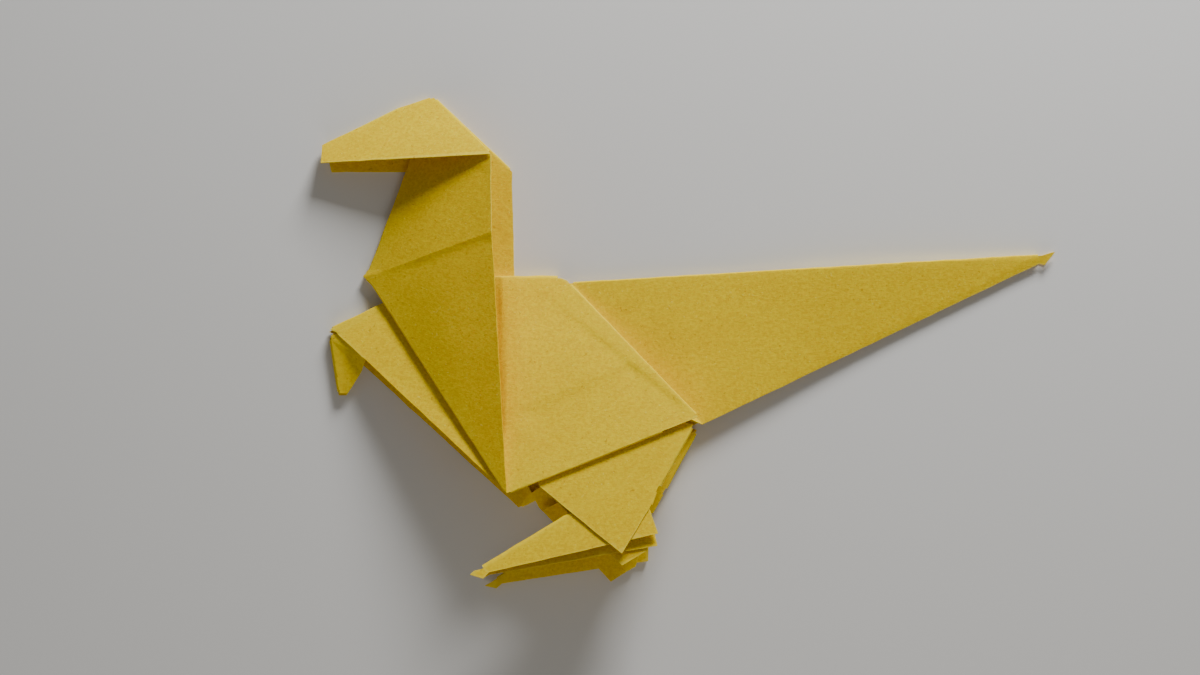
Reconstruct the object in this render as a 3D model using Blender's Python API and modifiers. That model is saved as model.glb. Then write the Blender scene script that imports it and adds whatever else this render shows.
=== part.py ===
"""An origami dinosaur, folded from one square of yellow paper and laid on its side.

The near half of every fold is the upper one here, and the far half lies on the table.
X runs from the nose to the tail, Y from the feet to the back, and Z up from the table.
The sheet is built as its middle surface, panel by panel, and Solidify gives it its thickness.
Sizes are in millimetres and degrees until a point is made, and headings turn anticlockwise
from the tail's direction as seen from above.
"""

from dataclasses import dataclass
from math import cos, pi, radians, sin

import bmesh
import bpy
from mathutils import Vector
from mathutils.geometry import delaunay_2d_cdt

NAME = "origami_dinosaur"
NODE = "folded_sheet"
MM = 0.001
INSIDE_ONLY = 1
SAME_PLACE = 0.0001

# The sheet and its folds
SHEET = 0.2
PLY = 0.45
FOLD_STOP = 0.7
FOLD_STEPS = 4
FOLD_ROUND = 0.8
SPINE_ROUND = 0.35
THIGH_ROUND = 0.4
STRAIGHT = 0.0

# Sizes that both halves share, as a length, or a length and its heading, seen from above
BACK_LENGTH, BACK_HEADING = 37.3, -0.5
BACK_CORNER, BACK_CORNER_HEADING = 1.24, -22.0
NECK_LENGTH, NECK_HEADING = 36.7, 69.7
BROW_LENGTH, BROW_HEADING = 7.2, -162.4
TAIL_ROOT, TAIL_ROOT_HEADING = 1.9, -31.5
TAIL_TOP_LENGTH, TAIL_TOP_HEADING = 91.1, 3.4
TAIL_END, TAIL_END_HEADING = 1.55, -103.0
TIP_LENGTH, TIP_HEADING = 2.4, 11.0
TIP_WIDTH, TIP_END_HEADING = 2.8, -127.0
ARM_TIP, ARM_TIP_HEADING = 1.3, 157.6
ARM_TOP_LENGTH, ARM_TOP_HEADING = 18.7, 26.0
HAND_SEAM = 7.8
HAND_TOP = 1.2
HAND_LENGTH, HAND_HEADING = 12.4, -81.3
HAND_END = 1.5
HAND_EDGE_LENGTH, HAND_EDGE_HEADING = 4.8, 56.9
INSTEP_LENGTH, INSTEP_HEADING = 32.7, 31.0
TOE_LENGTH, TOE_HEADING = 2.1, 29.0
TOE_WIDTH, TOE_END_HEADING = 2.35, 167.0
SOLE_TURN, SOLE_TURN_HEADING = 1.6, -135.0
SECOND_SOLE_HEADING = -93.0
INNER_LEG_HEADING = -89.0
INNER_HEEL, INNER_HEEL_HEADING = 5.6, 31.0

# Sizes of the near half, which has sprung open and leans
NEAR_CHEST_LENGTH, NEAR_CHEST_HEADING = 49.1, -56.3
NEAR_BELLY_LENGTH, NEAR_BELLY_HEADING = 38.6, 21.5
NEAR_RUMP_LENGTH, NEAR_RUMP_HEADING = 35.3, 133.9
NEAR_HEAD_BACK, NEAR_HEAD_BACK_HEADING = 16.1, -45.3
NEAR_MUZZLE_LENGTH, NEAR_MUZZLE_HEADING = 16.2, -154.7
NEAR_NOSE_LENGTH, NEAR_NOSE_HEADING = 3.6, -90.0
NEAR_NAPE_LENGTH, NEAR_NAPE_HEADING = 25.7, 18.9
NEAR_ARM_LENGTH, NEAR_ARM_HEADING = 44.9, 137.8
NEAR_LEG_SETBACK, NEAR_LEG_SETBACK_HEADING = 6.2, 10.5
NEAR_SHIN_LENGTH, NEAR_SHIN_HEADING = 19.8, -38.6
NEAR_THIGH_LENGTH, NEAR_THIGH_HEADING = 13.8, -119.6
NEAR_HEEL_FOLD_LENGTH, NEAR_HEEL_FOLD_HEADING = 3.8, -113.4
NEAR_HEEL_LENGTH, NEAR_HEEL_HEADING = 5.0, -71.0
NEAR_SOLE_LENGTH, NEAR_SOLE_HEADING = 32.4, -167.3
NEAR_SECOND_HEEL = 2.4
NEAR_SECOND_SOLE = 0.6
NEAR_INNER_LEG = 2.4
NEAR_TAIL_GAP, NEAR_TAIL_GAP_HEADING = 2.17, -55.1
NEAR_SEAM_TURN = 0.0

# Sizes of the far half, which lies flat on the table
FAR_CHEST_LENGTH, FAR_CHEST_HEADING = 53.1, -56.9
FAR_BELLY_LENGTH, FAR_BELLY_HEADING = 38.8, 25.1
FAR_RUMP_LENGTH, FAR_RUMP_HEADING = 36.6, 133.4
FAR_HEAD_BACK, FAR_HEAD_BACK_HEADING = 20.6, -43.4
FAR_MUZZLE_LENGTH, FAR_MUZZLE_HEADING = 16.5, -146.3
FAR_NOSE_LENGTH, FAR_NOSE_HEADING = 2.95, -76.0
FAR_NAPE_LENGTH, FAR_NAPE_HEADING = 28.95, 14.5
FAR_ARM_LENGTH, FAR_ARM_HEADING = 48.6, 136.7
FAR_LEG_SETBACK, FAR_LEG_SETBACK_HEADING = 3.9, 0.0
FAR_SHIN_LENGTH, FAR_SHIN_HEADING = 19.7, -45.2
FAR_THIGH_LENGTH, FAR_THIGH_HEADING = 13.4, -118.1
FAR_HEEL_FOLD_LENGTH, FAR_HEEL_FOLD_HEADING = 5.4, -119.2
FAR_HEEL_LENGTH, FAR_HEEL_HEADING = 8.6, -92.8
FAR_SOLE_LENGTH, FAR_SOLE_HEADING = 28.4, -171.3
FAR_SECOND_HEEL = 0.2
FAR_SECOND_SOLE = 0.2
FAR_INNER_LEG = 0.3
FAR_TAIL_GAP, FAR_TAIL_GAP_HEADING = 0.42, -73.0
FAR_SEAM_TURN = 4.5

# Hidden turns of the sheet, inside the body
PLEAT_WIDTH = 2.6
PLEAT_END = 4.0
HIP_WIDTH = 3.2
BELLY_OPEN = 6.5
LEG_BACK_SETBACK = 1.7
LEG_ROOT_GAP = 1.0
STEP_WIDTH = 2.5
STEP_PLACE = 29.1

# Heights of the near half above the table, at the middle of the sheet
ROOT_RISE = 1.04
BACK_RISE = 2.4
CHEST_RISE = 15.2
CROWN_RISE = 1.04
POLL_RISE = 10.6
NAPE_RISE = 13.0
NOSE_RISE = 1.5
JAW_RISE = 4.4
TAIL_START_RISE = 3.0
TAIL_TIP_RISE = 1.2
TAIL_NUB_RISE = 1.2
TAIL_LOW_RISE = 1.1
ARM_TIP_RISE = 2.1
ARM_TOP_RISE = 1.5
ARM_LOW_RISE = 2.3
HAND_RISE = 1.9
HAND_EDGE_RISE = 2.6
LEG_DROOP = 0.07
SECOND_DROOP = 0.05

# Places of the hidden plies, counted inwards from the outer face of the body
LEG_PLY = -2
TAIL_DEPTH = 3
HIP_DEPTH = 6

PAPER_YELLOW = (0.83, 0.62, 0.03, 1.0)
PAPER_ROUGHNESS = 0.75

TABLE_RISE = SHEET / 2


@dataclass
class Half:
    """The sizes in which the halves differ. Each tuple is a length and a heading."""

    chest: tuple
    belly: tuple
    rump: tuple
    head_back: tuple
    muzzle: tuple
    nose: tuple
    nape: tuple
    arm: tuple
    leg_setback: tuple
    shin: tuple
    thigh: tuple
    heel_fold: tuple
    heel: tuple
    sole: tuple
    tail_gap: tuple
    second_heel: float
    second_sole: float
    inner_leg: float
    seam_turn: float


NEAR = Half(
    chest=(NEAR_CHEST_LENGTH, NEAR_CHEST_HEADING),
    belly=(NEAR_BELLY_LENGTH, NEAR_BELLY_HEADING),
    rump=(NEAR_RUMP_LENGTH, NEAR_RUMP_HEADING),
    head_back=(NEAR_HEAD_BACK, NEAR_HEAD_BACK_HEADING),
    muzzle=(NEAR_MUZZLE_LENGTH, NEAR_MUZZLE_HEADING),
    nose=(NEAR_NOSE_LENGTH, NEAR_NOSE_HEADING),
    nape=(NEAR_NAPE_LENGTH, NEAR_NAPE_HEADING),
    arm=(NEAR_ARM_LENGTH, NEAR_ARM_HEADING),
    leg_setback=(NEAR_LEG_SETBACK, NEAR_LEG_SETBACK_HEADING),
    shin=(NEAR_SHIN_LENGTH, NEAR_SHIN_HEADING),
    thigh=(NEAR_THIGH_LENGTH, NEAR_THIGH_HEADING),
    heel_fold=(NEAR_HEEL_FOLD_LENGTH, NEAR_HEEL_FOLD_HEADING),
    heel=(NEAR_HEEL_LENGTH, NEAR_HEEL_HEADING),
    sole=(NEAR_SOLE_LENGTH, NEAR_SOLE_HEADING),
    tail_gap=(NEAR_TAIL_GAP, NEAR_TAIL_GAP_HEADING),
    second_heel=NEAR_SECOND_HEEL,
    second_sole=NEAR_SECOND_SOLE,
    inner_leg=NEAR_INNER_LEG,
    seam_turn=NEAR_SEAM_TURN,
)
FAR = Half(
    chest=(FAR_CHEST_LENGTH, FAR_CHEST_HEADING),
    belly=(FAR_BELLY_LENGTH, FAR_BELLY_HEADING),
    rump=(FAR_RUMP_LENGTH, FAR_RUMP_HEADING),
    head_back=(FAR_HEAD_BACK, FAR_HEAD_BACK_HEADING),
    muzzle=(FAR_MUZZLE_LENGTH, FAR_MUZZLE_HEADING),
    nose=(FAR_NOSE_LENGTH, FAR_NOSE_HEADING),
    nape=(FAR_NAPE_LENGTH, FAR_NAPE_HEADING),
    arm=(FAR_ARM_LENGTH, FAR_ARM_HEADING),
    leg_setback=(FAR_LEG_SETBACK, FAR_LEG_SETBACK_HEADING),
    shin=(FAR_SHIN_LENGTH, FAR_SHIN_HEADING),
    thigh=(FAR_THIGH_LENGTH, FAR_THIGH_HEADING),
    heel_fold=(FAR_HEEL_FOLD_LENGTH, FAR_HEEL_FOLD_HEADING),
    heel=(FAR_HEEL_LENGTH, FAR_HEEL_HEADING),
    sole=(FAR_SOLE_LENGTH, FAR_SOLE_HEADING),
    tail_gap=(FAR_TAIL_GAP, FAR_TAIL_GAP_HEADING),
    second_heel=FAR_SECOND_HEEL,
    second_sole=FAR_SECOND_SOLE,
    inner_leg=FAR_INNER_LEG,
    seam_turn=FAR_SEAM_TURN,
)


def walk(start, length, heading):
    """The point at this length and heading from start, seen from above."""
    turn = radians(heading)
    return Vector((start[0] + length * cos(turn), start[1] + length * sin(turn)))


def plan_of(half):
    """The corners of one half, seen from above, from the root of the neck."""
    root = Vector((0.0, 0.0))
    back = walk(root, BACK_LENGTH, BACK_HEADING)
    chest = walk(root, *half.chest)
    hip = walk(chest, *half.belly)
    loin = walk(hip, *half.rump)
    belly_end = walk(hip, BELLY_OPEN, half.belly[1] + 180)
    crown = walk(root, NECK_LENGTH, NECK_HEADING)
    brow = walk(crown, BROW_LENGTH, BROW_HEADING)
    nose = walk(brow, *half.muzzle)
    tail_loin = walk(back, TAIL_ROOT, TAIL_ROOT_HEADING)
    tail_top = walk(tail_loin, TAIL_TOP_LENGTH, TAIL_TOP_HEADING)
    tail_tip = walk(tail_top, TIP_LENGTH, TIP_HEADING)
    arm_low = walk(chest, *half.arm)
    arm_tip = walk(arm_low, ARM_TIP, ARM_TIP_HEADING)
    hand_tip = walk(arm_tip, HAND_LENGTH, HAND_HEADING)
    hand_heel = walk(hand_tip, HAND_END, 0)
    leg_front = walk(chest, *half.leg_setback)
    leg_back = walk(hip, LEG_BACK_SETBACK, half.thigh[1])
    shin = walk(leg_front, *half.shin)
    knee = walk(leg_back, *half.thigh)
    heel_fold = walk(knee, *half.heel_fold)
    heel = walk(heel_fold, *half.heel)
    sole_end = walk(heel, *half.sole)
    toe_low = walk(sole_end, SOLE_TURN, SOLE_TURN_HEADING)
    toe_tip = walk(toe_low, TOE_WIDTH, TOE_END_HEADING)
    toe_top = walk(toe_tip, TOE_LENGTH, TOE_HEADING)
    inner_shin = walk(shin, half.inner_leg, INNER_LEG_HEADING)
    return {
        "root": root,
        "saddle": walk(root, STEP_PLACE, BACK_HEADING),
        "step": walk(root, STEP_PLACE + STEP_WIDTH, BACK_HEADING),
        "back": back,
        "loin_round": walk(back, BACK_CORNER, BACK_CORNER_HEADING),
        "loin": loin,
        "hip": hip,
        "belly_end": belly_end,
        "keel": walk(chest, STEP_WIDTH, half.belly[1]),
        "chest": chest,
        "crown": crown,
        "brow": brow,
        "nose": nose,
        "jaw": walk(nose, *half.nose),
        "poll": walk(crown, *half.head_back),
        "nape": walk(root, *half.nape),
        "pleat_top": walk(loin, PLEAT_WIDTH, half.rump[1] + 90),
        "pleat_low": walk(walk(hip, PLEAT_END, half.rump[1]), PLEAT_WIDTH, half.rump[1] + 90),
        "tail_loin": tail_loin,
        "tail_start": walk(hip, *half.tail_gap),
        "tail_top": tail_top,
        "tail_tip": tail_tip,
        "tail_nub": walk(tail_tip, TIP_WIDTH, TIP_END_HEADING),
        "tail_low": walk(tail_top, TAIL_END, TAIL_END_HEADING),
        "arm_low": arm_low,
        "arm_tip": arm_tip,
        "arm_top": walk(arm_tip, ARM_TOP_LENGTH, ARM_TOP_HEADING),
        "hand_seam": walk(arm_low, HAND_SEAM, half.arm[1] + 180 - half.seam_turn),
        "hand_top": walk(arm_tip, HAND_TOP, HAND_HEADING),
        "hand_tip": hand_tip,
        "hand_heel": hand_heel,
        "hand_edge": walk(hand_heel, HAND_EDGE_LENGTH, HAND_EDGE_HEADING),
        "hip_front": walk(leg_front, HIP_WIDTH, half.belly[1] + 90),
        "hip_back": walk(belly_end, HIP_WIDTH, half.belly[1] + 90),
        "leg_front": leg_front,
        "shin": shin,
        "heel_fold": heel_fold,
        "knee": knee,
        "leg_back": leg_back,
        "inner_front": walk(leg_front, LEG_ROOT_GAP, half.belly[1] - 60),
        "inner_shin": inner_shin,
        "inner_heel": walk(inner_shin, INNER_HEEL, INNER_HEEL_HEADING),
        "inner_back": walk(leg_back, LEG_ROOT_GAP, half.belly[1] + 180),
        "toe_top": toe_top,
        "toe_tip": toe_tip,
        "toe_low": toe_low,
        "sole_end": sole_end,
        "second_sole_end": walk(sole_end, half.second_sole, SECOND_SOLE_HEADING),
        "ankle": walk(toe_top, INSTEP_LENGTH, INSTEP_HEADING),
        "heel": heel,
        "second_heel": walk(heel, half.second_heel, SECOND_SOLE_HEADING),
    }


class NearHeights:
    """The leaning plane of the near half. Each ply inside the body lies one step lower."""

    def __init__(self, plan):
        self.plan = plan
        chest = plan["chest"]
        self.slope_x = (BACK_RISE - ROOT_RISE) / BACK_LENGTH
        self.slope_y = (CHEST_RISE - ROOT_RISE - self.slope_x * chest.x) / chest.y
        seam_share = HAND_SEAM / NEAR_ARM_LENGTH
        seam_rise = ARM_LOW_RISE + (CHEST_RISE - ARM_LOW_RISE) * seam_share
        self.free = {
            "brow": CROWN_RISE + PLY,
            "nose": NOSE_RISE,
            "jaw": JAW_RISE,
            "tail_start": TAIL_START_RISE,
            "tail_top": TAIL_TIP_RISE,
            "tail_tip": TAIL_TIP_RISE,
            "tail_nub": TAIL_NUB_RISE,
            "tail_low": TAIL_LOW_RISE,
            "arm_tip": ARM_TIP_RISE,
            "arm_top": ARM_TOP_RISE,
            "arm_low": ARM_LOW_RISE,
            "hand_seam": seam_rise,
            "hand_top": HAND_RISE,
            "hand_tip": HAND_RISE,
            "hand_heel": HAND_RISE,
            "hand_edge": HAND_EDGE_RISE,
        }
        self.neck = {"crown": CROWN_RISE, "poll": POLL_RISE, "nape": NAPE_RISE}

    def rise(self, name, ply):
        if name in self.free:
            return self.free[name]
        if name in self.neck:
            return self.neck[name] + (ply - 1) * PLY
        place = self.plan[name]
        lean = ROOT_RISE + self.slope_x * place.x + self.slope_y * place.y
        droop = LEG_DROOP if ply <= LEG_PLY else 0
        if ply <= LEG_PLY - 2:
            droop += SECOND_DROOP
        return lean + ply * PLY - droop * below_hip(self.plan, place)


class FarHeights:
    """The far half, flat on the table. Each ply inside the body lies one step higher."""

    def __init__(self, plan):
        self.plan = plan
        arm_rise = TABLE_RISE + PLY
        hand_rise = arm_rise + PLY
        self.free = {
            "brow": TABLE_RISE,
            "nose": TABLE_RISE,
            "jaw": TABLE_RISE,
            "tail_start": TABLE_RISE + TAIL_DEPTH * PLY,
            "tail_top": TABLE_RISE,
            "tail_tip": TABLE_RISE,
            "tail_nub": TABLE_RISE,
            "tail_low": TABLE_RISE,
            "arm_tip": arm_rise,
            "arm_top": arm_rise + PLY,
            "arm_low": arm_rise,
            "hand_seam": arm_rise,
            "hand_top": hand_rise,
            "hand_tip": hand_rise,
            "hand_heel": hand_rise,
            "hand_edge": hand_rise,
        }
        self.neck = {"crown": TABLE_RISE + PLY, "poll": TABLE_RISE + PLY, "nape": TABLE_RISE}
        self.over_neck = {"root", "saddle", "chest", "hip_front"}
        self.leg_depth = max(below_hip(plan, plan[name]) for name in ("toe_low", "shin", "heel"))

    def rise(self, name, ply):
        if name in self.free:
            return self.free[name]
        if name in self.neck:
            return self.neck[name] - (ply - 1) * PLY
        lift = PLY if name in self.over_neck else 0
        settled = below_hip(self.plan, self.plan[name]) / self.leg_depth
        sag = -LEG_PLY * PLY * settled if ply <= LEG_PLY else 0
        return TABLE_RISE + lift - ply * PLY - sag


def below_hip(plan, place):
    """How far a place lies below the hidden fold of the hip, seen from above, or 0 above it."""
    belly = (plan["hip"] - plan["chest"]).normalized()
    return max(0.0, HIP_WIDTH + Vector((belly.y, -belly.x)).dot(place - plan["chest"]))


class Sheet:
    """The middle surface of the paper: flat panels, joined by rounded folds."""

    def __init__(self):
        self.mesh = bmesh.new()

    def point(self, place):
        return self.mesh.verts.new(Vector(place) * MM)

    def panel(self, corners, hinges, faces=None):
        """Adds one panel, and returns a row of points along each of its hinges.

        corners maps each corner's name to its place, in order round the panel. hinges maps a
        hinge's name to the corners along it. faces lists the flat parts of a creased panel.
        """
        points = {name: self.point(place) for name, place in corners.items()}
        stops = {}
        rows = {}
        for hinge, names in hinges.items():
            start = self.stop(corners[names[0]], corners[names[1]])
            end = self.stop(corners[names[-1]], corners[names[-2]])
            stops.setdefault((names[0], names[1]), []).append(start)
            stops.setdefault((names[-2], names[-1]), []).append(end)
            rows[hinge] = [start, *(points[name] for name in names[1:-1]), end]
        for names in faces or [tuple(corners)]:
            loop = []
            for name, following in zip(names, (*names[1:], names[0])):
                loop.append(points[name])
                loop += stops.get((name, following), [])
                loop += reversed(stops.get((following, name), []))
            self.fill(loop)
        return rows

    def fill(self, loop):
        """Fills a loop of points with triangles, as seen from above."""
        places = [point.co.xy / MM for point in loop]
        edges = [(index, (index + 1) % len(loop)) for index in range(len(loop))]
        cut = delaunay_2d_cdt(places, edges, [], INSIDE_ONLY, SAME_PLACE)
        triangles, origins = cut[2], cut[3]
        for triangle in triangles:
            self.mesh.faces.new([loop[origins[corner][0]] for corner in triangle])

    def stop(self, corner, towards):
        """A point on a panel's edge, just in from its corner, where a fold starts or ends."""
        return self.point(corner + (towards - corner).normalized() * FOLD_STOP)

    def fold(self, first, second, inside, roundness=FOLD_ROUND):
        """Joins two rows of points by a rounded turn that bulges away from the place inside."""
        steps = 1 if roundness == STRAIGHT else FOLD_STEPS
        turns = []
        for upper, lower in zip(first, second):
            middle = (upper.co + lower.co) / 2
            half = (upper.co - lower.co) / 2
            outward = (first[-1].co - first[0].co).cross(half)
            outward.z = 0
            outward.normalize()
            if outward.dot(middle - inside * MM) < 0:
                outward.negate()
            reach = outward * half.length * roundness
            turn = [upper]
            for step in range(1, steps):
                angle = pi * step / steps
                turn.append(self.mesh.verts.new(middle + half * cos(angle) + reach * sin(angle)))
            turns.append([*turn, lower])
        for one, other in zip(turns, turns[1:]):
            for step in range(steps):
                self.mesh.faces.new((one[step], other[step], other[step + 1], one[step + 1]))


def add_half(sheet, half, heights_of):
    """Adds the panels of one half and its own folds. Returns the rows that meet the other half."""
    plan = plan_of(half)
    heights = heights_of(plan)

    def corners(ply, names):
        return {
            name: Vector((plan[name].x, plan[name].y, heights.rise(name, ply)))
            for name in names.split()
        }

    def middle(names):
        places = corners(0, names).values()
        return sum(places, Vector()) / len(places)

    head = sheet.panel(
        corners(2, "crown brow nose jaw poll"),
        {"forehead": ("crown", "brow", "nose"), "head_back": ("crown", "poll")},
    )
    neck = sheet.panel(
        corners(1, "root crown poll nape chest"),
        {
            "throat": ("root", "crown"),
            "head_back": ("crown", "poll"),
            "breast": ("root", "chest"),
        },
        faces=[("root", "crown", "poll", "nape"), ("root", "nape", "chest")],
    )
    body = sheet.panel(
        corners(0, "root saddle step back loin_round loin hip belly_end keel chest"),
        {
            "breast": ("root", "chest"),
            "spine": ("root", "saddle", "step", "back"),
            "rump": ("loin", "hip"),
            "belly": ("belly_end", "keel", "chest"),
        },
        faces=[
            ("root", "saddle", "chest"),
            ("saddle", "step", "keel", "chest"),
            ("step", "back", "loin_round", "loin", "hip", "belly_end", "keel"),
        ],
    )
    pleat = sheet.panel(
        corners(-1, "loin hip pleat_low pleat_top"),
        {"rump": ("loin", "hip"), "pleat": ("pleat_top", "pleat_low")},
    )
    tail_corners = corners(LEG_PLY, "pleat_top tail_loin tail_top tail_tip tail_nub tail_low tail_start")
    tail_corners.update(corners(-HIP_DEPTH, "pleat_low"))
    tail = sheet.panel(
        tail_corners,
        {"pleat": ("pleat_top", "pleat_low"), "tail_spine": ("tail_loin", "tail_top")},
        faces=[
            ("tail_loin", "tail_top", "tail_tip", "tail_nub", "tail_low", "tail_start"),
            ("pleat_top", "tail_loin", "tail_start", "pleat_low"),
        ],
    )
    arm = sheet.panel(
        corners(
            -1, "belly_end keel chest hand_seam arm_low arm_tip arm_top hip_front hip_back"
        ),
        {
            "belly": ("belly_end", "keel", "chest"),
            "wrist": ("arm_low", "hand_seam"),
            "arm_spine": ("arm_tip", "arm_top"),
            "hip": ("hip_front", "hip_back"),
        },
    )
    hand_corners = corners(-2, "arm_low hand_seam hand_edge hand_heel hand_tip hand_top")
    step_in = Vector((0, 0, PLY if half is FAR else -PLY))
    hand_corners["arm_low"] += step_in
    hand_corners["hand_seam"] += step_in
    hand = sheet.panel(
        hand_corners,
        {"wrist": ("arm_low", "hand_seam"), "hand_spine": ("hand_top", "hand_tip")},
    )
    leg = sheet.panel(
        corners(LEG_PLY, "hip_front leg_front shin heel_fold knee leg_back hip_back"),
        {
            "hip": ("hip_front", "hip_back"),
            "thigh": ("leg_back", "knee"),
            "heel": ("knee", "heel_fold"),
        },
    )
    foot_hinges = {"heel": ("knee", "heel_fold"), "instep": ("toe_top", "ankle")}
    foot = sheet.panel(
        corners(LEG_PLY - 1, "toe_top ankle knee heel_fold heel sole_end toe_low toe_tip"),
        foot_hinges,
    )
    second_foot = sheet.panel(
        corners(
            LEG_PLY - 2,
            "toe_top ankle knee heel_fold second_heel second_sole_end toe_low toe_tip",
        ),
        foot_hinges,
    )
    inner_leg = sheet.panel(
        corners(LEG_PLY - 3, "inner_front inner_shin inner_heel heel_fold knee leg_back inner_back"),
        {"thigh": ("leg_back", "knee"), "heel": ("knee", "heel_fold")},
    )

    sheet.fold(head["head_back"], neck["head_back"], middle("root nose"))
    sheet.fold(neck["breast"], body["breast"], middle("saddle hip"))
    sheet.fold(body["rump"], pleat["rump"], middle("chest"))
    sheet.fold(pleat["pleat"], tail["pleat"], middle("tail_tip"))
    sheet.fold(body["belly"], arm["belly"], middle("back"))
    sheet.fold(arm["wrist"], hand["wrist"], middle("arm_top"), STRAIGHT)
    sheet.fold(arm["hip"], leg["hip"], middle("shin"))
    sheet.fold(leg["thigh"], inner_leg["thigh"], middle("leg_front"), THIGH_ROUND)
    sheet.fold(leg["heel"], foot["heel"], middle("leg_front"))
    sheet.fold(foot["instep"], second_foot["instep"], middle("heel"))
    sheet.fold(second_foot["heel"], inner_leg["heel"], middle("leg_front"))
    return {
        "forehead": (head["forehead"], middle("poll")),
        "throat": (neck["throat"], middle("poll")),
        "spine": (body["spine"], middle("chest")),
        "tail_spine": (tail["tail_spine"], middle("tail_start")),
        "arm_spine": (arm["arm_spine"], middle("chest")),
        "hand_spine": (hand["hand_spine"], middle("hand_edge")),
    }


def paper_material():
    material = bpy.data.materials.new("yellow_paper")
    material.use_nodes = True
    shader = material.node_tree.nodes["Principled BSDF"]
    shader.inputs["Base Color"].default_value = PAPER_YELLOW
    shader.inputs["Roughness"].default_value = PAPER_ROUGHNESS
    shader.inputs["Metallic"].default_value = 0.0
    return material


def add_object(sheet, collection):
    """Makes the node: the middle surface, set down over the origin, with Solidify on it."""
    mesh = sheet.mesh
    bmesh.ops.recalc_face_normals(mesh, faces=mesh.faces)
    low = Vector(min(vert.co[axis] for vert in mesh.verts) for axis in range(3))
    high = Vector(max(vert.co[axis] for vert in mesh.verts) for axis in range(3))
    centre = (low + high) / 2
    bmesh.ops.translate(mesh, verts=mesh.verts, vec=(-centre.x, -centre.y, 0))
    data = bpy.data.meshes.new(NODE)
    mesh.to_mesh(data)
    mesh.free()
    data.materials.append(paper_material())
    node = bpy.data.objects.new(NODE, data)
    collection.objects.link(node)
    solidify = node.modifiers.new("sheet thickness", "SOLIDIFY")
    solidify.thickness = SHEET * MM
    solidify.offset = 0.0
    solidify.use_even_offset = True
    return node


def main():
    for obj in list(bpy.data.objects):
        bpy.data.objects.remove(obj)
    collection = bpy.data.collections.new(NAME)
    bpy.context.scene.collection.children.link(collection)
    sheet = Sheet()
    near = add_half(sheet, NEAR, NearHeights)
    far = add_half(sheet, FAR, FarHeights)
    for name, (row, inside) in near.items():
        sheet.fold(row, far[name][0], inside, SPINE_ROUND)
    add_object(sheet, collection)


main()
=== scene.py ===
"""The origami dinosaur as it looks: one folded sheet of yellow paper, lying on its side.

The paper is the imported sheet, cut up finely so that it can bend, with its creases pressed in.
Places and lengths are in millimetres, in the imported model's frame.
"""

from math import exp, radians

import bmesh
import bpy
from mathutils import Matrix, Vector, noise
from mathutils.bvhtree import BVHTree


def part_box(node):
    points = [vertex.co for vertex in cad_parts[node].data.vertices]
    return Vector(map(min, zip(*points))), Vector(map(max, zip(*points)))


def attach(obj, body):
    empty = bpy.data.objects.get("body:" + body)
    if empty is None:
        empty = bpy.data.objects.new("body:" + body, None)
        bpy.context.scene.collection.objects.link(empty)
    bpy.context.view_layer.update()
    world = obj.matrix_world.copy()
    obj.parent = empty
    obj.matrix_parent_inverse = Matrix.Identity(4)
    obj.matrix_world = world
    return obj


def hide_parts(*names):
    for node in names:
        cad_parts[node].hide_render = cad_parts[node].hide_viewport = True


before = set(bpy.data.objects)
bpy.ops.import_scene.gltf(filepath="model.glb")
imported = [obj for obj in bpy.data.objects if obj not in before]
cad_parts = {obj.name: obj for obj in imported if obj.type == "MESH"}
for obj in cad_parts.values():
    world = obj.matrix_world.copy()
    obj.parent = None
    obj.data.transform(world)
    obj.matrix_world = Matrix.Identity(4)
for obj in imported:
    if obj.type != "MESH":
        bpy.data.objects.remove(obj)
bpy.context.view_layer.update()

MM = 0.001

# Points closer than MERGE are one, and faces within FLAT of each other are one panel.
MERGE = 0.001
FLAT = radians(0.5)

# The sheet is cut into cells this wide. A cut takes points within CUT_SLACK as lying on it.
CELL = 1.5
CUT_SLACK = 0.01

# Faces that meet at less than SHARP are shaded as one.
SHARP = radians(72)

# Strips that round a fold are narrow and turn by TURN_ANGLE or more. Those of a cut edge of the
# paper are narrower still, and meet the panels at SHARP or more.
TURN, RIM = 1, 2
TURN_WIDTH = 1.2
TURN_ANGLE = radians(12)
RIM_WIDTH = 0.3

# How far from a strip its distance is still measured.
FAR_OFF = 6.0

# Below TABLE_LAYERS the paper lies flat, and above SPRUNG_LAYERS it is free to swell.
TABLE_LAYERS = 2.6
SPRUNG_LAYERS = 6.5

# How far the edges waver along the table, over what length, and how far apart, in such lengths,
# the noise is read for X and for Y.
WAVER = 0.09
WAVER_LENGTH = 3.0
WAVER_APART = Vector((31.4, 17.2, 5.6))

# Each crease: where it starts and ends, how far down its slope reaches, and how deep it is.
CREASES = [
    ((-61.2, 12.9), (-37.6, 20.9), 1.5, 0.24),
    ((-28.6, 11.0), (-1.0, -11.6), 1.3, 0.20),
    ((-31.0, -11.8), (-11.0, -3.4), 3.0, 0.26),
    ((-43.5, 36.0), (-37.9, 33.0), 1.3, 0.10),
]

# The share of a crease's length over which it fades at each end.
CREASE_FADE = 0.06

# Each swell of the paper: its middle, its half-widths along X and Y, and its height.
SWELLS = [
    ((-14.0, -8.0), (15.0, 12.0), 0.35),
    ((-46.0, 0.0), (6.0, 16.0), 0.4),
    ((-56.0, 39.5), (10.0, 6.0), 0.3),
]

# Each corner that is pulled out to a small nub: its place, and how far it moves along X and Y.
NUBS = [
    ((-61.7, 12.8), (-0.9, 0.15)),
    ((70.2, 17.2), (0.3, 0.25)),
    ((-40.7, -42.3), (-0.25, 0.55)),
]
NUB_REACH = 0.9

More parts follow.
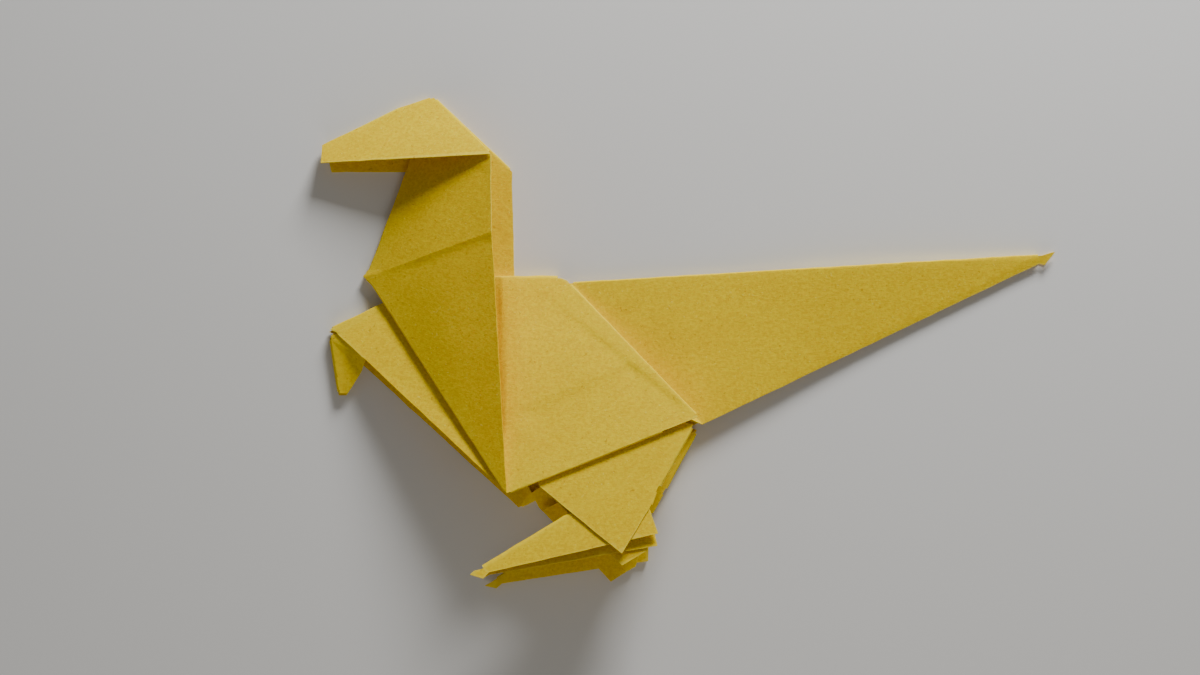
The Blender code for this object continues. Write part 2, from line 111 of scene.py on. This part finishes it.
# The body's paper turns down under the free edge of the neck, along this line: softly at first,
# then steeply, and it comes back up deeper under the neck and near the line's low end.
TUCK_TOP = Vector((-35.6, 12.8))
TUCK_LOW = Vector((-34.9, -20.5))
TUCK_BEND = 2.6
TUCK_WIDTH = 1.6
TUCK_FADE = 3.5
TUCK_LOW_FADE = 5.0
BEND_DROP = 0.3
TUCK_DROP = 1.8

# The plane of the near half's body: its height at the root of the neck, and its slopes. Paper
# that lies more than BODY_MARGIN above it belongs to the neck.
ROOT = Vector((-61.7, 12.8))
ROOT_RISE = 1.04
SLOPES = Vector((0.0365, -0.3223))
BODY_MARGIN = 0.3

# The tail's upper ply twists away from the light towards its tip: its two edges, each as two
# places, the steepest slope of the twist, where along X that is reached, the share of the tail's
# width where it hinges, and the heights between which the plies below give way to the upper one.
TAIL_TOP_EDGE = Vector((-22.8, 12.0)), Vector((68.1, 16.9))
TAIL_LOW_EDGE = Vector((3.6, -15.0)), Vector((67.8, 15.4))
TWIST_SLOPE = 0.13
TWIST_REACH = 45.0
TWIST_HINGE = 0.35
FAR_PLY_TOP = 0.25
UPPER_PLY = 1.0

# The paper's colours.
DEEP_PULP = (0.87, 0.60, 0.0, 1)
FULL_PULP = (0.93, 0.66, 0.0, 1)
BRIGHT_PULP = (0.96, 0.69, 0.0, 1)
MOTTLING = (0.66, 0.395, 0.0, 1)
PALE_FIBRE = (0.99, 0.76, 0.02, 1)
DARK_FIBRE = (0.68, 0.40, 0.0, 1)
# Partly rubbed paper and partly a painted highlight, in a soft band along the folds.
RUBBED_AND_HIGHLIGHT = (0.95, 0.69, 0.01, 1)
# Partly worn paper and partly a painted highlight, right on the folds.
WORN_AND_HIGHLIGHT = (0.97, 0.74, 0.03, 1)
# A painted highlight along the paper's cut edges.
CUT_RIM_HIGHLIGHT = (0.98, 0.80, 0.10, 1)
DARK_SPECK = (0.50, 0.26, 0.0, 1)
PALE_SPECK = (0.97, 0.80, 0.10, 1)

# The paper's relief, and the light that goes into it. These depths are in metres.
RELIEF = 0.00009
GLOW_DEPTH = 0.0006
GLOW_BY_COLOUR = (1.0, 0.55, 0.08)

# The camera looks straight down on the middle of the figure.
VIEW_MIDDLE = (-17.0, 1.1)
CAMERA_HEIGHT = 500
SENSOR_WIDTH = 36
LENS = 77.6

# The table and the room. The half-width is in metres.
TABLE_COLOUR = (0.76, 0.755, 0.74, 1)
TABLE_HALF_WIDTH = 1.5
ROOM_COLOUR = (1, 0.99, 0.97, 1)
ROOM_STRENGTH = 0.14
FILL_COLOUR = (1, 0.93, 0.8)


def ease(value):
    """0 below 0, 1 above 1, and smooth between them."""
    value = max(0.0, min(1.0, value))
    return value * value * (3 - 2 * value)


def rightward(start, end):
    """The direction to the right, for one who goes from start to end."""
    along = (end - start).normalized()
    return Vector((along.y, -along.x))


def right_of(start, end, place):
    """How far a place lies to the right of the line from start to end."""
    return (place - start).dot(rightward(start, end))


def crease_drop(place, crease):
    """How far a crease presses the paper down here: nothing above its line, a soft slope below."""
    start, end, reach, depth = crease
    start, end = Vector(start), Vector(end)
    below = right_of(start, end, place)
    if below <= 0:
        return 0.0
    share = (place - start).dot((end - start).normalized()) / (end - start).length
    ends = ease(share / CREASE_FADE + 0.5) * ease((1 - share) / CREASE_FADE + 0.5)
    return depth * ends * below / reach * exp(1 - below / reach)


def swell_rise(place, swell):
    """How far a swell lifts the paper here."""
    middle, widths, height = swell
    across = (place.x - middle[0]) / widths[0]
    down = (place.y - middle[1]) / widths[1]
    return height * exp(-across * across - down * down)


def nub_pull(place):
    """How far the nubs pull the paper along the table here."""
    pull = Vector((0, 0))
    for middle, shift in NUBS:
        distance = (place - Vector(middle)).length / NUB_REACH
        pull += Vector(shift) * exp(-distance * distance)
    return pull


def tuck_drop(place, height):
    """How far the body turns down here, under the free edge of the neck."""
    body_height = ROOT_RISE + SLOPES.dot(place - ROOT)
    flat = TABLE_LAYERS / 2
    if height > body_height + BODY_MARGIN or height < flat:
        return 0.0
    inward = right_of(TUCK_TOP, TUCK_LOW, place)
    bend = BEND_DROP * ease((inward + TUCK_BEND) / TUCK_BEND)
    tuck = TUCK_DROP * ease(inward / TUCK_WIDTH)
    fade = 1 - ease((inward - TUCK_BEND) / TUCK_FADE)
    low_end = ease((place.y - TUCK_LOW.y) / TUCK_LOW_FADE)
    room = min(1.0, (height - flat) / TABLE_LAYERS)
    return (bend + tuck) * fade * low_end * room


def y_at(line, x):
    """The Y of a line, given as two places, at this X."""
    start, end = line
    return start.y + (x - start.x) * (end.y - start.y) / (end.x - start.x)


def tail_twist(place, height):
    """How far the tail's upper ply rises here, or sinks where this is negative."""
    low = y_at(TAIL_LOW_EDGE, place.x)
    width = y_at(TAIL_TOP_EDGE, place.x) - low
    if place.x < 0 or width <= 0:
        return 0.0
    slope = TWIST_SLOPE * ease(place.x / TWIST_REACH)
    ply = max(0.0, min(1.0, (height - FAR_PLY_TOP) / (UPPER_PLY - FAR_PLY_TOP)))
    return slope * (place.y - low - TWIST_HINGE * width) * ply


def bend_sheet(mesh):
    """Moves the paper up and down, and every edge a little along the table."""
    for point in mesh.verts:
        place = point.co.xy / MM
        height = point.co.z / MM
        spot = Vector((*place, WAVER_LENGTH / 2)) / WAVER_LENGTH
        waver = Vector((noise.noise(spot), noise.noise(spot + WAVER_APART))) * WAVER
        point.co.xy += (waver + nub_pull(place)) * MM
        sprung = ease((height - TABLE_LAYERS) / (SPRUNG_LAYERS - TABLE_LAYERS))
        rise = sum(swell_rise(place, swell) for swell in SWELLS)
        drop = sum(crease_drop(place, crease) for crease in CREASES)
        tuck = tuck_drop(place, height)
        twist = tail_twist(place, height)
        point.co.z += ((rise - drop) * sprung - tuck + twist) * MM


def longest_edge(face):
    return max(face.edges, key=lambda edge: edge.calc_length())


def mark_strips(mesh, strip):
    """Marks the narrow strips that round each fold, and those of the paper's cut edges."""
    for face in mesh.faces:
        edge = longest_edge(face)
        width = face.calc_area() / edge.calc_length() / MM
        bend = edge.calc_face_angle(0.0)
        if width < TURN_WIDTH and TURN_ANGLE < bend < SHARP:
            face[strip] = TURN
        elif width < RIM_WIDTH and bend >= SHARP:
            face[strip] = RIM


def cut(mesh, place, across):
    """Cuts the whole sheet along an upright plane. The place is in metres."""
    geometry = [*mesh.verts, *mesh.edges, *mesh.faces]
    bmesh.ops.bisect_plane(
        mesh, geom=geometry, dist=CUT_SLACK * MM, plane_co=(*place, 0), plane_no=(*across, 0)
    )


def cut_finely(mesh, low, high):
    """Cuts the sheet along X and Y, and along its creases, so that its panels can bend."""
    for axis in range(2):
        across = Vector((1 - axis, axis))
        place = low.xy
        while place[axis] < high[axis]:
            place = place + across * CELL * MM
            cut(mesh, place, across)
    lines = [(start, end, (0, reach / 2, reach)) for start, end, reach, depth in CREASES]
    lines.append((TUCK_TOP, TUCK_LOW, (-TUCK_BEND, 0, TUCK_WIDTH / 2, TUCK_WIDTH)))
    for start, end, offsets in lines:
        across = rightward(Vector(start), Vector(end))
        for offset in offsets:
            cut(mesh, (Vector(start) + across * offset) * MM, across)


def measure(mesh, strip, kind, name):
    """Gives each point its distance from the nearest strip of one kind, in millimetres."""
    layer = mesh.verts.layers.float.new(name)
    strips = [
        [corner.index for corner in face.verts] for face in mesh.faces if face[strip] == kind
    ]
    tree = BVHTree.FromPolygons([point.co for point in mesh.verts], strips)
    for point in mesh.verts:
        distance = tree.find_nearest(point.co)[3]
        point[layer] = min(distance / MM, FAR_OFF)


def add_mesh(name, mesh, material):
    """Turns a finished bmesh into an object of one material."""
    data = bpy.data.meshes.new(name)
    mesh.to_mesh(data)
    mesh.free()
    data.materials.append(material)
    piece = bpy.data.objects.new(name, data)
    bpy.context.scene.collection.objects.link(piece)
    return piece


def folded_paper(paper):
    """The sheet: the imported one, merged, cut, bent, and shaded smooth across its folds."""
    mesh = bmesh.new()
    mesh.from_mesh(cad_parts["folded_sheet"].data)
    bmesh.ops.remove_doubles(mesh, verts=mesh.verts, dist=MERGE * MM)
    bmesh.ops.dissolve_limit(mesh, angle_limit=FLAT, verts=mesh.verts, edges=mesh.edges)
    strip = mesh.faces.layers.int.new("strip")
    mark_strips(mesh, strip)
    for edge in mesh.edges:
        edge.smooth = edge.calc_face_angle(0.0) < SHARP
    low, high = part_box("folded_sheet")
    cut_finely(mesh, low, high)
    mesh.verts.index_update()
    measure(mesh, strip, TURN, "from_fold")
    measure(mesh, strip, RIM, "from_rim")
    bend_sheet(mesh)
    for face in mesh.faces:
        face.smooth = True
    sheet = add_mesh("yellow_sheet", mesh, paper)
    normals = sheet.modifiers.new("flat panels", "WEIGHTED_NORMAL")
    normals.keep_sharp = True
    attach(sheet, "root")
    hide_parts("folded_sheet")


class Amount:
    """A number that changes over the surface, for use in sums."""

    def __init__(self, shader, socket):
        self.shader = shader
        self.socket = socket

    def combine(self, operation, other):
        node = self.shader.node("ShaderNodeMath", {"operation": operation}, {0: self, 1: other})
        return Amount(self.shader, node.outputs[0])

    def __add__(self, other):
        return self.combine("ADD", other)

    def __sub__(self, other):
        return self.combine("SUBTRACT", other)

    def __mul__(self, other):
        return self.combine("MULTIPLY", other)


class Finish:
    """A material, and the making of its nodes."""

    def __init__(self, name):
        self.material = bpy.data.materials.new(name)
        self.material.use_nodes = True
        self.tree = self.material.node_tree
        self.surface = self.tree.nodes["Principled BSDF"]

    def node(self, kind, settings, inputs):
        """Adds a node: its settings first, then the values or links of its sockets."""
        node = self.tree.nodes.new(kind)
        for name, value in settings.items():
            setattr(node, name, value)
        for name, value in inputs.items():
            self.feed(node.inputs[name], value)
        return node

    def feed(self, socket, value):
        """Links a value that changes over the surface to a socket, or sets a fixed one there."""
        if isinstance(value, Amount):
            value = value.socket
        if isinstance(value, bpy.types.NodeSocket):
            self.tree.links.new(value, socket)
        else:
            socket.default_value = value

    def set_surface(self, values):
        """Feeds the surface's own sockets, by name."""
        for name, value in values.items():
            self.feed(self.surface.inputs[name], value)

    def attribute(self, name):
        """A number that the mesh carries at each point."""
        node = self.node("ShaderNodeAttribute", {"attribute_name": name}, {})
        return Amount(self, node.outputs["Fac"])

    def drawn_out(self, place, turn, stretch):
        """Places turned by some degrees and stretched, so that a pattern there turns to fibres."""
        inputs = {"Vector": place, "Rotation": (0, 0, radians(turn)), "Scale": (stretch, 1, 1)}
        return self.node("ShaderNodeMapping", {}, inputs).outputs[0]

    def noise(self, place, scale, detail, roughness):
        """Cloudy noise around 0.5."""
        settings = {"noise_dimensions": "3D"}
        inputs = {"Vector": place, "Scale": scale, "Detail": detail, "Roughness": roughness}
        return Amount(self, self.node("ShaderNodeTexNoise", settings, inputs).outputs[0])

    def band(self, amount, start, end, low=0.0, high=1.0):
        """Turns start..end of an amount into low..high, smoothly, and holds it outside."""
        settings = {"interpolation_type": "SMOOTHSTEP"}
        inputs = {
            "Value": amount,
            "From Min": start,
            "From Max": end,
            "To Min": low,
            "To Max": high,
        }
        return Amount(self, self.node("ShaderNodeMapRange", settings, inputs).outputs[0])

    def mix(self, share, first, second):
        """The first colour where the share is 0, and the second where it is 1."""
        inputs = {0: share, 6: first, 7: second}
        return self.node("ShaderNodeMix", {"data_type": "RGBA"}, inputs).outputs[2]


def yellow_paper():
    """Yellow craft paper: cloudy pulp, fine fibres, a few specks, worn folds, and painted
    highlights along the folds and cut edges.
    """
    paper = Finish("yellow_paper")
    place = paper.node("ShaderNodeTexCoord", {}, {}).outputs["Object"]
    fibres_across = paper.drawn_out(place, turn=24, stretch=0.25)
    fibres_down = paper.drawn_out(place, turn=-57, stretch=0.3)
    pulp = paper.noise(place, scale=420, detail=4, roughness=0.6)
    cloud = paper.noise(place, scale=90, detail=3, roughness=0.55)
    across = paper.noise(fibres_across, scale=3800, detail=3, roughness=0.6)
    down = paper.noise(fibres_down, scale=3200, detail=3, roughness=0.6)
    grain = paper.noise(place, scale=6500, detail=2, roughness=0.5)
    mottle = paper.noise(place, scale=1600, detail=3, roughness=0.65)
    speck = paper.band(paper.noise(place, scale=1500, detail=1, roughness=0.4), 0.71, 0.76)
    pale_speck = paper.band(paper.noise(place, scale=2100, detail=1, roughness=0.4), 0.69, 0.75)
    from_fold = paper.attribute("from_fold")
    from_rim = paper.attribute("from_rim")
    # A painted highlight along the paper's cut edges.
    rim_highlight = paper.band(from_rim + (pulp - 0.5) * 0.2, 0.02, 0.3, low=1.0, high=0.0)
    # Pale wear on the folds, with a painted highlight there as well.
    wear_and_highlight = paper.band(from_fold + (pulp - 0.5) * 0.5, 0.0, 0.35, low=1.0, high=0.0)
    # A soft paler band along the folds: rubbed paper, with a painted highlight there as well.
    rub_and_highlight = paper.band(from_fold + (cloud - 0.5) * 3.0, 0.3, 2.6, low=1.0, high=0.0)

    colour = paper.mix(paper.band(cloud, 0.3, 0.7), DEEP_PULP, FULL_PULP)
    for share, layer in [
        (paper.band(pulp, 0.35, 0.65) * 0.3, BRIGHT_PULP),
        (paper.band(mottle, 0.35, 0.65) * 0.5, MOTTLING),
        (paper.band(across, 0.5, 0.75) * 0.35, PALE_FIBRE),
        (paper.band(down, 0.5, 0.75) * 0.35, DARK_FIBRE),
        (rub_and_highlight * 0.2, RUBBED_AND_HIGHLIGHT),
        (wear_and_highlight * 0.3, WORN_AND_HIGHLIGHT),
        (rim_highlight * 0.4, CUT_RIM_HIGHLIGHT),
        (speck * 0.5, DARK_SPECK),
        (pale_speck * 0.5, PALE_SPECK),
    ]:
        colour = paper.mix(share, colour, layer)

    height = across * 0.4 + down * 0.4 + grain * 0.3 + mottle * 0.6 + pulp * 0.5
    relief = {"Strength": 0.7, "Distance": RELIEF, "Height": height}
    paper.set_surface(
        {
            "Base Color": colour,
            "Roughness": paper.band(pulp, 0.3, 0.7, low=0.62, high=0.78),
            "Normal": paper.node("ShaderNodeBump", {}, relief).outputs[0],
            "Specular IOR Level": 0.12,
            "Subsurface Weight": 0.12,
            "Subsurface Radius": GLOW_BY_COLOUR,
            "Subsurface Scale": GLOW_DEPTH,
        }
    )
    return paper.material


def pale_table():
    table = Finish("pale_table")
    table.set_surface({"Base Color": TABLE_COLOUR, "Roughness": 0.85})
    mesh = bmesh.new()
    bmesh.ops.create_grid(mesh, x_segments=1, y_segments=1, size=TABLE_HALF_WIDTH)
    floor = add_mesh("table_top", mesh, table.material)


def soft_light(name, place, size, power, aim=(-17, 1, 5), colour=(1, 1, 1)):
    """A square soft light, aimed at the dinosaur."""
    data = bpy.data.lights.new(name, "AREA")
    data.size = size * MM
    data.energy = power
    data.color = colour
    light = bpy.data.objects.new(name, data)
    light.location = Vector(place) * MM
    light.rotation_euler = (Vector(aim) - Vector(place)).to_track_quat("-Z", "Y").to_euler()
    bpy.context.scene.collection.objects.link(light)


def overhead_camera():
    data = bpy.data.cameras.new("overhead")
    data.sensor_width = SENSOR_WIDTH
    data.lens = LENS
    camera = bpy.data.objects.new("overhead", data)
    camera.location = Vector((*VIEW_MIDDLE, CAMERA_HEIGHT)) * MM
    bpy.context.scene.collection.objects.link(camera)
    bpy.context.scene.camera = camera


def soft_room():
    """Even light from all around."""
    world = bpy.data.worlds.new("soft_room")
    world.use_nodes = True
    background = world.node_tree.nodes["Background"]
    background.inputs["Color"].default_value = ROOM_COLOUR
    background.inputs["Strength"].default_value = ROOM_STRENGTH
    bpy.context.scene.world = world


folded_paper(yellow_paper())
pale_table()
soft_room()
soft_light("window", place=(130, 430, 205), size=170, power=3.3)
soft_light("fill", place=(20, -430, 200), size=260, power=0.5, colour=FILL_COLOUR)
overhead_camera()

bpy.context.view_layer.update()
